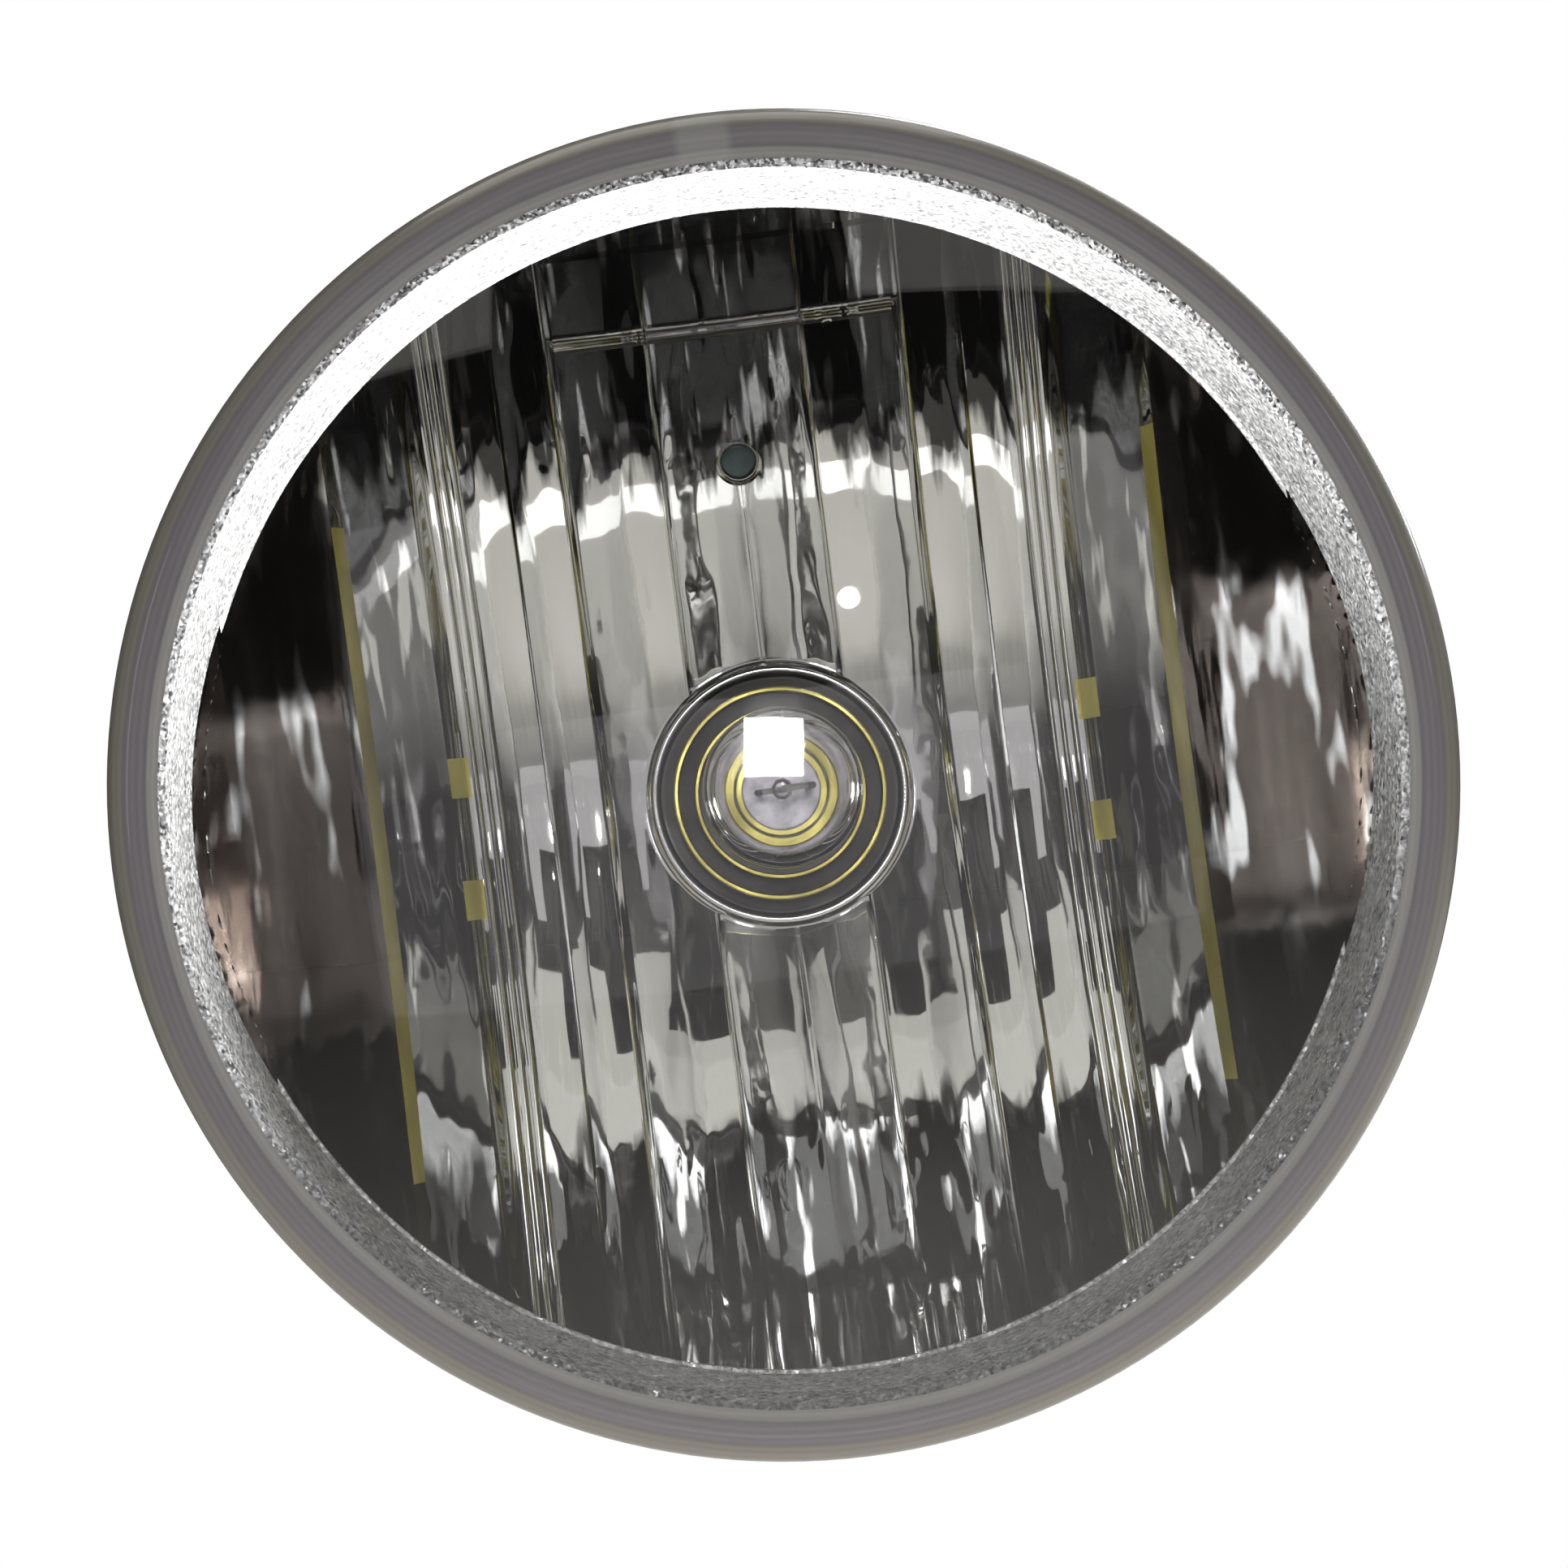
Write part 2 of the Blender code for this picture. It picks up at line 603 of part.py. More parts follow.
def make_adjuster():
    centre = (0.0, -ADJUSTER_DROP)
    shank = [(0, 31.0), (1.9, 31.0), (SCREW_RADIUS, 31.8), (SCREW_RADIUS, 50.6), (5.2, 50.6), (5.2, 51.8), (0, 51.8)]
    screw = turned("adjuster_screw", shank, ZINC, centre=centre, steps=24, solid=True)
    add(screw, cylinder("screw_head", 4.62, (0, 51.2, centre[1]), (0, 57.0, centre[1]), vertices=6))
    cut(screw, box("driver_slot_a", (-2.6, 54.5, centre[1] - 0.6), (2.6, 58.0, centre[1] + 0.6)))
    cut(screw, box("driver_slot_b", (-0.6, 54.5, centre[1] - 2.6), (0.6, 58.0, centre[1] + 2.6)))
    clip = [(2.8, 44.2), (4.8, 44.2), (4.8, 44.8), (2.8, 44.8)]
    turned("adjuster_clip", clip, ZINC, centre=centre, steps=24)
    bush = [(2.9, 45.3), (4.3, 45.3), (5.4, 46.2), (4.7, 46.2), (4.7, 49.3), (6.5, 49.3), (6.5, 50.3), (2.9, 50.3)]
    turned("adjuster_bush", bush, NYLON, centre=centre, steps=24)
    nut = cylinder("adjuster_nut", NUT_RADIUS, (-8.2, NUT_DEPTH, centre[1]), (8.2, NUT_DEPTH, centre[1]), NYLON)
    cut(nut, cylinder("nut_thread", 2.8, (0, 30, centre[1]), (0, 42, centre[1]), vertices=24))


def carry(name, depth, z, pieces):
    """Hangs the pieces on an empty that stands on their joint's axis, without moving them."""
    axis = bpy.data.objects.new(name, None)
    axis.location = place(0, depth, z)
    axis.empty_display_size = 0.02
    PARTS.objects.link(axis)
    bpy.context.view_layer.update()
    for piece in pieces:
        child = bpy.data.objects[piece]
        child.parent = axis
        child.matrix_parent_inverse = axis.matrix_world.inverted()
    return axis


TILTING = ("lens", "lens_sealant", "bezel_ring", "reflector", "housing", "vent_cap", "vent_membrane")
BUSHES = ("pivot_bush_left", "pivot_bush_right")
BULB = ("bulb_glass", "bulb_collar", "pinch_seal", "filament", "lead_wire_left", "lead_wire_right", "bulb_base")
BULB_ENDS = ("terminal_left", "terminal_right", "bulb_seal")


def hang_on_joints():
    tilt = carry("tilt_axis", PIVOT_DEPTH, 0, TILTING + BUSHES)
    bulb = carry("bulb_axis", PAD_DEPTH, 0, BULB + BULB_ENDS)
    nut = carry("nut_axis", NUT_DEPTH, -ADJUSTER_DROP, ("adjuster_nut",))
    carry("screw_axis", PAD_DEPTH, -ADJUSTER_DROP, ("adjuster_screw", "adjuster_clip"))
    for axis in (bulb, nut):
        axis.parent = tilt
        axis.matrix_parent_inverse = tilt.matrix_world.inverted()


def main():
    global PARTS, CUTTERS
    for obj in list(bpy.data.objects):
        bpy.data.objects.remove(obj)
    PARTS = bpy.data.collections.new("fog_light")
    CUTTERS = bpy.data.collections.new("cutters")
    bpy.context.scene.collection.children.link(PARTS)
    bpy.context.scene.collection.children.link(CUTTERS)
    make_lens()
    make_sealant()
    make_bezel()
    make_reflector()
    make_housing()
    make_vent()
    make_glass()
    make_collar()
    make_filament()
    make_bulb_base()
    make_bulb_seal()
    make_bracket()
    make_weld_nuts()
    make_pivots()
    make_adjuster()
    hang_on_joints()


main()
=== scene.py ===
"""Looks of the round fog light: fine optics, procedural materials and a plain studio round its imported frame.

The frame is metres with +Z up, and the lamp shines along -Y. Depths are millimetres behind the front of
the lens rim. An outline of a turned piece is a list of (radius, depth) points in millimetres.
"""

import math

import bmesh
import bpy
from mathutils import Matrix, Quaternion, Vector, noise


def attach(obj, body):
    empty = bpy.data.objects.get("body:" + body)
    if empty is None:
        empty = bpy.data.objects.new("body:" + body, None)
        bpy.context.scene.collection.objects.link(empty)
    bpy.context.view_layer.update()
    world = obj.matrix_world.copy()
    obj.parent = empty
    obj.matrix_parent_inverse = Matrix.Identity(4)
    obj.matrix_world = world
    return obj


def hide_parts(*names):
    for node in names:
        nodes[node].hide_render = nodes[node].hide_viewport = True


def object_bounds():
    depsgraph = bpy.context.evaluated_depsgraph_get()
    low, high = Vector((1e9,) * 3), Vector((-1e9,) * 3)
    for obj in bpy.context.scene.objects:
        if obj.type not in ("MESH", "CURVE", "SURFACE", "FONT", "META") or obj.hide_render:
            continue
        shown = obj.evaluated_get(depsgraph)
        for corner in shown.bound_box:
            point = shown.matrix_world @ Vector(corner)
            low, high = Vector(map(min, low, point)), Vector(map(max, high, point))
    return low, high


MM = 0.001

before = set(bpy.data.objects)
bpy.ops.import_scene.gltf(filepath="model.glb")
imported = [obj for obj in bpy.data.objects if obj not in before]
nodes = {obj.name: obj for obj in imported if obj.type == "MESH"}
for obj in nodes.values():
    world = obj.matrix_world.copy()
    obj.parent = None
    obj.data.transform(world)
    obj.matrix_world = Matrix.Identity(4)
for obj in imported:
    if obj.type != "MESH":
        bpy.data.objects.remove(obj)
cad_low, cad_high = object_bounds()

# The lens. Lengths are millimetres here and down to the camera's values.
PAD_DEPTH = 50.0
RIM_RADIUS = 50.0
RIM_FALL = 3.4
RIM_END = 5.6
RIM_ROUND = 0.1
DOME_RADIUS = 150.0
DOME_EDGE = 46.0
DOME_INSIDE_EDGE = 45.4
DOME_RINGS = 30
RIM_RINGS = 10
LENS_WALL = 2.6
TONGUE = (47.0, 48.8)
TONGUE_ROOT = 3.6
TONGUE_END = 10.6
TONGUE_ROUND = 0.2
RIM_BAND = 45.5
RIM_FACE_MARGIN = 1.0
RIM_GREYS = ((0.42, 0.41, 0.40), (0.30, 0.28, 0.305), (0.38, 0.36, 0.325))
RIM_WAVES = 620.0
GATE_MARK = (1.6, 2.3)
GATE_GREY = (0.50, 0.49, 0.48, 1)

# The mirror. Flutes, beads and risers are (inside, outside, height) across the lamp, the same on both sides.
MIRROR_RADIUS = 45.5
MIRROR_RIM_DEPTH = 18.5
MIRROR_GRID_MARGIN = 0.8
FOCAL_LENGTH = 20.0
MIRROR_WALL = 1.5
MIRROR_VERTEX = MIRROR_RIM_DEPTH + MIRROR_RADIUS**2 / (4 * FOCAL_LENGTH)
MIRROR_PITCH = 0.28
FINE_STEPS = 8
FLUTES = ((0.0, 6.0, 0.20), (6.0, 13.0, 0.26), (13.9, 17.9, 0.20), (17.9, 21.4, 0.16))
BEADS = ((13.0, 13.9, 0.32), (21.4, 22.2, 0.30), (22.2, 23.0, 0.30), (23.0, 23.9, 0.30))
RISERS = ((5.85, 6.15, 0.22), (13.0, 13.9, 1.15), (17.75, 18.05, 1.25))
SIDE_STEPS = ((23.9, 25.3, 1.6), (30.6, 31.4, 5.9))
SHELF = (25.3, 30.6, 1.3)
FLAT_HALF = 21.4
SIDE_FOCUS = 45.0
SKIRT = (44.3, 45.4)
LEDGE = (35.2, 36.3)
LEDGE_RISE = 1.0
LEDGE_TOP = (41.6, 42.0, 0.35)
BULB_HOLE = 9.8
BREATHER = (25.9, 1.5)

# The mirror's moulded ripples, and where its colour is darkened as a painted reflection of a dark room. A
# painted dark zone is (start, end, share of brightness left).
RIPPLE = 0.012
RIPPLE_LENGTH = 5.0
STREAK = (1.3, 5.5, 0.020)
FLAME = (1.2, 6.0, 0.24, 0.15)
FLAME_ZONE = (23.0, 29.0)
PAINTED_DARK_TOP_BOTTOM = (25.0, 27.5, 0.10)
PAINTED_DARK_SIDES = (23.9, 25.6, 0.30)
PAINTED_DARK_WAVER = 7.0
YELLOW_LINE = (-26.0, 24.0)
YELLOW_SPOT = (3.2, 6.4)
YELLOW_SPOT_MIDDLE = -0.5
# Indices of the mirror's coats; the main and the cheek coats carry painted reflection.
MAIN_COAT_PAINTED_REFLECTION, YELLOW_COAT, CHEEK_COAT_PAINTED_REFLECTION, UNPLATED, BRIGHT_COAT = range(5)

# The rolled lip of the bulb hole, as radius from the axis and depth from the hole's edge, and the
# breather's pieces, as radius and depth from the breather's own edge.
LIP_OUTLINE = ((9.3, 1.2), (9.3, -0.4), (9.5, -0.8), (9.9, -0.9), (10.4, -0.6), (10.6, 0.1), (10.6, 1.2))
LIP_INSIDE = 9.38
BREATHER_LIP = ((-0.15, 0.9), (-0.15, -0.15), (0.1, -0.3), (0.35, -0.1), (0.35, 0.9))
# A dark cup behind the breather hole, as painted shade.
SHADE_CUP_OUTLINE = ((-0.2, 1.6), (-0.2, 0.95), (0.2, 0.95), (0.2, 1.9))

# The bezel ring.
BEZEL_FRONT = (45.6, 3.7)
BEZEL_BACK = (43.9, 16.3)
BEZEL_RINGS = 16
BEZEL_STEPS = 384
BEZEL_FOOT = [(43.65, 16.45), (43.6, 16.6), (43.6, 17.0), (43.7, 17.1), (45.75, 17.1)]
BEZEL_FLANGE = [(45.75, 4.4), (46.5, 4.4), (46.5, 4.0)]
GRAIN_SCALE = 4200.0
GRAIN_TILT = 0.8

# The bulb.
GLASS_RADIUS = 6.0
GLASS_WALL = 0.9
GLASS_TIP = 10.0
GLASS_END = 39.2
GLASS_NOSE = (5.0, 4.4)
GLASS_RINGS = 12
COLLAR_OUTSIDE = [(7.9, 41.5), (7.9, 38.2), (8.0, 38.0), (8.2, 38.0), (8.3, 38.2), (8.3, 43.7)]
COLLAR_FOOT = [(9.1, 43.7), (9.1, 44.1), (6.3, 44.1)]
COLLAR_INSIDE = [(6.3, 37.2), (6.4, 37.0), (6.6, 37.0), (6.7, 37.2), (6.7, 41.5)]
COLLAR_DARK_DEPTH = 38.3
PINCH_FACE = [(0, 37.7), (3.9, 37.5), (4.1, 37.7), (4.15, 39.0)]
PINCH_RING = [(4.2, 38.8), (4.9, 38.8), (5.0, 39.0), (5.0, 43.8), (0, 43.8)]
# Where the pinch block's gold begins, a painted reflection of the cup.
PINCH_PAINTED_REFLECTION_RADIUS = 4.12

ROUND_STEPS = 192
AXIS_RADIUS = 1e-6

# The camera and the studio, in metres unless they say otherwise.
CAMERA_DISTANCE = 0.55
CAMERA_SIDE, CAMERA_RISE = -0.006, -0.011
CAMERA_TARGET_DEPTH = 4.0
FRAME_WIDTH = 0.1136
SENSOR = 36.0
CLIP = (0.05, 20.0)
ROLL = math.radians(7.3)
FLOOR = -0.25
FLOOR_SIZE = 3.2
FLOOR_MIDDLE = -0.3
LAMP_FACE = (0, cad_low.y, 0)
FLOOR_AIM = (0, -0.2, FLOOR)
SEEN_WORLD = (1, 1, 1, 1)
ROOM_WORLD = (0.95, 0.90, 0.86, 1)
ROOM_STRENGTH = 0.028
LILAC_WHITE = (1.0, 0.96, 1.0)
SOFT_WHITE = (1.0, 0.985, 0.92)
WARM_WHITE = (1.0, 0.97, 0.90)
ROSE_WHITE = (1.0, 0.85, 0.78)
CARDS = {
    "black_card": ((0.0, -0.76, 0.22), (0.46, 0.26, 1)),
    "black_card_near": ((-0.02, -0.36, 0.26), (0.17, 0.22, 1)),
}


def place(x, depth, z):
    """A point given across, behind the lens rim and up, in millimetres, as metres in the frame."""
    return Vector((x * MM, (depth - PAD_DEPTH) * MM, z * MM))


# Node materials.


class Look:
    """A material under construction, with its shader and its tree at hand."""

    def __init__(self, name):
        self.material = bpy.data.materials.new(name)
        self.material.use_nodes = True
        self.tree = self.material.node_tree
        self.shader = self.tree.nodes["Principled BSDF"]
        self.place = self.node("ShaderNodeTexCoord").outputs["Object"]

    def node(self, kind, **values):
        made = self.tree.nodes.new(kind)
        for key, value in values.items():
            if key in made.inputs:
                made.inputs[key].default_value = value
            else:
                setattr(made, key, value)
        return made

    def join(self, source, target):
        self.tree.links.new(source, target)

    def set(self, **values):
        for key, value in values.items():
            self.shader.inputs[key.replace("_", " ")].default_value = value

    def noise(self, scale, detail=3.0, roughness=0.55, stretch=None):
        made = self.node("ShaderNodeTexNoise", Scale=scale, Detail=detail, Roughness=roughness)
        source = self.place
        if stretch:
            mapping = self.node("ShaderNodeMapping", Scale=stretch)
            self.join(source, mapping.inputs["Vector"])
            source = mapping.outputs["Vector"]
        self.join(source, made.inputs["Vector"])
        return made.outputs["Fac"]

    def ramp(self, source, stops):
        made = self.node("ShaderNodeValToRGB")
        made.color_ramp.elements[0].position = stops[0][0]
        made.color_ramp.elements[0].color = (*stops[0][1], 1)
        made.color_ramp.elements[1].position = stops[-1][0]
        made.color_ramp.elements[1].color = (*stops[-1][1], 1)
        for position, colour in stops[1:-1]:
            made.color_ramp.elements.new(position).color = (*colour, 1)
        self.join(source, made.inputs["Fac"])
        return made.outputs["Color"]

    def span(self, source, low, high, start=0.3, end=0.7):
        """A value that goes from low to high as the source goes from start to end."""
        made = self.node("ShaderNodeMapRange")
        made.inputs["From Min"].default_value = start
        made.inputs["From Max"].default_value = end
        made.inputs["To Min"].default_value = low
        made.inputs["To Max"].default_value = high
        self.join(source, made.inputs["Value"])
        return made.outputs["Result"]

    def math(self, operation, first, second=0.0):
        made = self.node("ShaderNodeMath", operation=operation)
        for socket, value in zip(made.inputs, (first, second)):
            if isinstance(value, (int, float)):
                socket.default_value = value
            else:
                self.join(value, socket)
        return made.outputs["Value"]

    def mix(self, kind, share, first, second):
        """Two colours mixed, where the share or the second colour may be a plain value."""
        made = self.node("ShaderNodeMixRGB", blend_type=kind)
        for socket, value in zip(made.inputs, (share, first, second)):
            if isinstance(value, (float, tuple)):
                socket.default_value = value
            else:
                self.join(value, socket)
        return made.outputs["Color"]

    def bump(self, source, distance, strength=1.0):
        made = self.node("ShaderNodeBump", Strength=strength, Distance=distance)
        self.join(source, made.inputs["Height"])
        self.join(made.outputs["Normal"], self.shader.inputs["Normal"])

    def pass_lamps(self):
        """Lets the lamps shine straight through clear material, on what is behind it."""
        path = self.node("ShaderNodeLightPath")
        mix = self.node("ShaderNodeMixShader")
        self.join(path.outputs["Is Shadow Ray"], mix.inputs["Fac"])
        self.join(self.shader.outputs["BSDF"], mix.inputs[1])
        self.join(self.node("ShaderNodeBsdfTransparent").outputs["BSDF"], mix.inputs[2])
        self.join(mix.outputs["Shader"], self.tree.nodes["Material Output"].inputs["Surface"])

    def radius(self, inside, outside):
        """How far a point is from the optical axis, from 0 at the inside radius to 1 at the outside one."""
        flat = self.node("ShaderNodeMapping", Scale=(1.0, 0.0, 1.0))
        length = self.node("ShaderNodeVectorMath", operation="LENGTH")
        self.join(self.place, flat.inputs["Vector"])
        self.join(flat.outputs["Vector"], length.inputs[0])
        return self.span(length.outputs["Value"], 0.0, 1.0, inside * MM, outside * MM)

    def parts(self):
        """A point's place across the lamp and up, as two values."""
        made = self.node("ShaderNodeSeparateXYZ")
        self.join(self.place, made.inputs["Vector"])
        return made.outputs["X"], made.outputs["Z"]

    def darken(self, colour, factor):
        """A colour multiplied by a plain value."""
        grey = self.node("ShaderNodeCombineXYZ")
        for socket in grey.inputs:
            self.join(factor, socket)
        return self.mix("MULTIPLY", 1.0, colour, grey.outputs["Vector"])

    def colour(self, source):
        self.join(source, self.shader.inputs["Base Color"])

    def roughness(self, source):
        self.join(source, self.shader.inputs["Roughness"])


def shade(colour, factor):
    return tuple(min(1.0, channel * factor) for channel in colour)


def plain_look(
    name, colour, roughness, metallic=0.0, mottle=0.12, mottle_scale=90.0, grain_scale=1500.0, grain=0.02
):
    """A moulded, cast or plated surface: slow colour change, uneven gloss and a fine grain."""
    look = Look(name)
    look.set(Metallic=metallic)
    slow = look.noise(mottle_scale, 4.0)
    look.colour(look.ramp(slow, [(0.3, shade(colour, 1 - mottle)), (0.7, shade(colour, 1 + mottle))]))
    look.roughness(look.span(look.noise(mottle_scale * 2.3), roughness * 0.8, roughness * 1.2))
    look.bump(look.noise(grain_scale, 2.0), grain * MM)
    return look


def brushed_look(name, colour, roughness, stretch):
    """Bare or plated metal with fine lines, drawn out along the axis where the stretch is small."""
    look = Look(name)
    look.set(Metallic=1.0)
    lines = look.noise(900.0, 4.0, stretch=stretch)
    look.colour(look.ramp(lines, [(0.3, shade(colour, 0.85)), (0.7, shade(colour, 1.1))]))
    look.roughness(look.span(look.noise(200.0), roughness * 0.75, roughness * 1.3))
    look.bump(lines, 0.01 * MM)
    return look


def clear_look():
    look = Look("clear_polycarbonate")
    look.set(Base_Color=(0.985, 0.985, 0.98, 1), Transmission_Weight=1.0, IOR=1.585, Specular_IOR_Level=0.5)
    look.roughness(look.span(look.noise(260.0, 3.0), 0.0, 0.03))
    look.bump(look.noise(70.0, 2.0), 0.01 * MM)
    look.pass_lamps()
    return look


def quartz_look():
    look = Look("quartz")
    look.set(Base_Color=(0.98, 0.985, 0.99, 1), Transmission_Weight=1.0, IOR=1.46)
    look.roughness(look.span(look.noise(400.0), 0.0, 0.015))
    look.bump(look.noise(160.0), 0.01 * MM)
    look.pass_lamps()
    return look


def rim_look():
    """The lens rim, where the plastic shows the grey joint under it as three satin bands with fine rings."""
    look = Look("satin_lens_rim")
    look.set(Coat_Weight=0.6, Coat_Roughness=0.08)
    inner, middle, outer = RIM_GREYS
    bands = [(0.0, inner), (0.26, inner), (0.32, shade(middle, 0.82)), (0.36, middle)]
    bands += [(0.68, middle), (0.72, shade(outer, 0.86)), (0.77, outer), (1.0, outer)]
    waves = look.node("ShaderNodeTexWave", Scale=RIM_WAVES, Distortion=1.2, Detail=2.0)
    waves.wave_type = "RINGS"
    waves.rings_direction = "Y"
    waves.inputs["Detail Scale"].default_value = 0.4
    look.join(look.place, waves.inputs["Vector"])
    rings = look.ramp(waves.outputs["Fac"], [(0.2, (0.80, 0.80, 0.80)), (0.8, (1.0, 1.0, 1.0))])
    ringed = look.mix("MULTIPLY", 0.5, look.ramp(look.radius(RIM_BAND, RIM_RADIUS), bands), rings)
    x, z = look.parts()
    near = look.span(look.math("ABSOLUTE", x), 1.0, 0.0, GATE_MARK[0] * MM, GATE_MARK[1] * MM)
    gate = look.math("MULTIPLY", near, look.math("GREATER_THAN", z, 0.0))
    look.colour(look.mix("MIX", look.math("MULTIPLY", gate, 0.55), ringed, GATE_GREY))
    look.roughness(look.span(look.noise(500.0), 0.30, 0.45))
    look.bump(waves.outputs["Fac"], 0.01 * MM)
    return look


def mirror_look(name="metallised_mirror", reflection_painted=False):
    """Metallised plastic. Optionally its colour darkens towards top, bottom and sides as a painted reflection
    of a dark room, with bright streaks left as painted highlights.
    """
    look = Look(name)
    look.set(Metallic=1.0)
    coat = look.ramp(look.noise(60.0), [(0.3, (0.90, 0.90, 0.885)), (0.7, (0.95, 0.95, 0.94))])
    if reflection_painted:
        x, z = look.parts()
        # Painted reflection: the colour darkens towards top, bottom and sides, where the mirror shows a dark
        # room.
        edge = look.noise(420.0, 3.0, stretch=(1.0, 0.0, 0.12))
        waver = look.span(edge, -PAINTED_DARK_WAVER * MM, PAINTED_DARK_WAVER * MM, 0.2, 0.8)
        height = look.math("ADD", look.math("ABSOLUTE", z), waver)
        far = look.span(height, 1.0, PAINTED_DARK_TOP_BOTTOM[2], PAINTED_DARK_TOP_BOTTOM[0] * MM, PAINTED_DARK_TOP_BOTTOM[1] * MM)
        across = look.math("ABSOLUTE", x)
        aside = look.span(across, 1.0, PAINTED_DARK_SIDES[2], PAINTED_DARK_SIDES[0] * MM, PAINTED_DARK_SIDES[1] * MM)
        # Bright streaks left undarkened: painted highlights.
        painted_highlight_streaks = look.span(look.noise(620.0, 2.0, stretch=(1.0, 0.0, 0.14)), 0.0, 1.0, 0.56, 0.63)
        coat = look.darken(coat, look.math("MAXIMUM", look.math("MULTIPLY", far, aside), painted_highlight_streaks))
    look.colour(coat)
    look.roughness(look.span(look.noise(300.0, 3.0), 0.015, 0.05))
    look.bump(look.noise(220.0, 3.0), 0.006 * MM)
    return look


def cheek_painted_reflection_look():
    """The side cheeks of the mirror: a painted reflection, dark brown-grey in soft upright bands, with bright
    leaves that are painted highlights.
    """
    look = Look("cheek_mirror_painted_reflection")
    look.set(Metallic=1.0)
    bands = look.noise(190.0, 4.0, stretch=(1.0, 0.0, 0.10))
    # Painted reflection: dark brown-grey bands, with bright leaves mixed in as painted highlights.
    painted_reflection_browns = [(0.30, (0.07, 0.06, 0.052)), (0.55, (0.18, 0.155, 0.14)), (0.72, (0.34, 0.31, 0.29))]
    painted_highlight_leaves = look.span(look.noise(330.0, 2.0, stretch=(1.0, 0.0, 0.22)), 0.0, 1.0, 0.57, 0.64)
    look.colour(look.mix("MIX", painted_highlight_leaves, look.ramp(bands, painted_reflection_browns), (0.92, 0.92, 0.91, 1)))
    look.roughness(look.span(look.noise(300.0, 3.0), 0.03, 0.09))
    look.bump(bands, 0.05 * MM)
    return look


def stipple_look():
    """The bezel ring's coat over an etched grain: small facets, each tilted its own way, that sparkle, and a
    fine dark and near-white grain in its colour that is painted sparkle.
    """
    look = Look("stippled_mirror")
    look.set(Metallic=0.6)
    grain = look.node("ShaderNodeTexVoronoi", Scale=GRAIN_SCALE)
    look.join(look.place, grain.inputs["Vector"])
    # Painted sparkle: a fine grain of dark grey and near-white in the colour.
    painted_sparkle_greys = [(0.35, (0.40, 0.40, 0.41)), (0.65, (0.92, 0.92, 0.92))]
    look.colour(look.ramp(look.noise(GRAIN_SCALE * 0.6, 1.0), painted_sparkle_greys))
    look.roughness(look.span(look.noise(900.0, 3.0), 0.18, 0.40))
    tilt = look.node("ShaderNodeVectorMath", operation="MULTIPLY_ADD")
    look.join(grain.outputs["Color"], tilt.inputs[0])
    tilt.inputs[1].default_value = (GRAIN_TILT,) * 3
    tilt.inputs[2].default_value = (-GRAIN_TILT / 2,) * 3
    lean = look.node("ShaderNodeVectorMath", operation="ADD")
    look.join(tilt.outputs["Vector"], lean.inputs[0])
    look.join(look.node("ShaderNodeNewGeometry").outputs["Normal"], lean.inputs[1])
    unit = look.node("ShaderNodeVectorMath", operation="NORMALIZE")
    look.join(lean.outputs["Vector"], unit.inputs[0])
    look.join(unit.outputs["Vector"], look.shader.inputs["Normal"])
    return look


# Mesh builders.


def new_object(name, mesh, look, sharp=35.0):
    mesh.shade_smooth()
    mesh.set_sharp_from_angle(angle=math.radians(sharp))
    mesh.materials.append(look.material)
    obj = bpy.data.objects.new(name, mesh)
    bpy.context.scene.collection.objects.link(obj)
    return obj


def revolve(name, outline, look, steps=ROUND_STEPS, centre=(0.0, 0.0), sharp=35.0):
    """A closed turned solid about an axis along Y."""
    shape = bmesh.new()
    rings = []
    for radius, depth in outline:
        if radius < AXIS_RADIUS:
            rings.append([shape.verts.new(place(centre[0], depth, centre[1]))])
            continue
        ring = []
        for step in range(steps):
            angle = 2 * math.pi * step / steps
            x = centre[0] + radius * math.cos(angle)
            z = centre[1] + radius * math.sin(angle)
            ring.append(shape.verts.new(place(x, depth, z)))
        rings.append(ring)
    pairs = list(zip(rings, rings[1:]))
    if len(rings[0]) > 1 or len(rings[-1]) > 1:
        pairs.append((rings[-1], rings[0]))
    for first, second in pairs:
        for step in range(steps):
            after = (step + 1) % steps
            corners = [first[step % len(first)], first[after % len(first)]]
            corners += [second[after % len(second)], second[step % len(second)]]
            corners = list(dict.fromkeys(corners))
            if len(corners) > 2:
                shape.faces.new(corners)
    bmesh.ops.recalc_face_normals(shape, faces=shape.faces)
    mesh = bpy.data.meshes.new(name)
    shape.to_mesh(mesh)
    shape.free()
    return new_object(name, mesh, look, sharp)


def second_coat(obj, look, wanted):
    """Gives a turned piece a second material on the faces whose radius and depth are wanted."""
    obj.data.materials.append(look.material)
    for face in obj.data.polygons:
        radius = math.hypot(face.center.x, face.center.z) / MM
        if wanted(radius, face.center.y / MM + PAD_DEPTH):
            face.material_index = len(obj.data.materials) - 1


def smooth_step(value, low, high):
    share = min(1.0, max(0.0, (value - low) / (high - low)))
    return share * share * (3 - 2 * share)


# The lens.


def dome_depth(radius):
    edge = math.sqrt(DOME_RADIUS**2 - DOME_EDGE**2)
    return edge - math.sqrt(DOME_RADIUS**2 - radius**2)


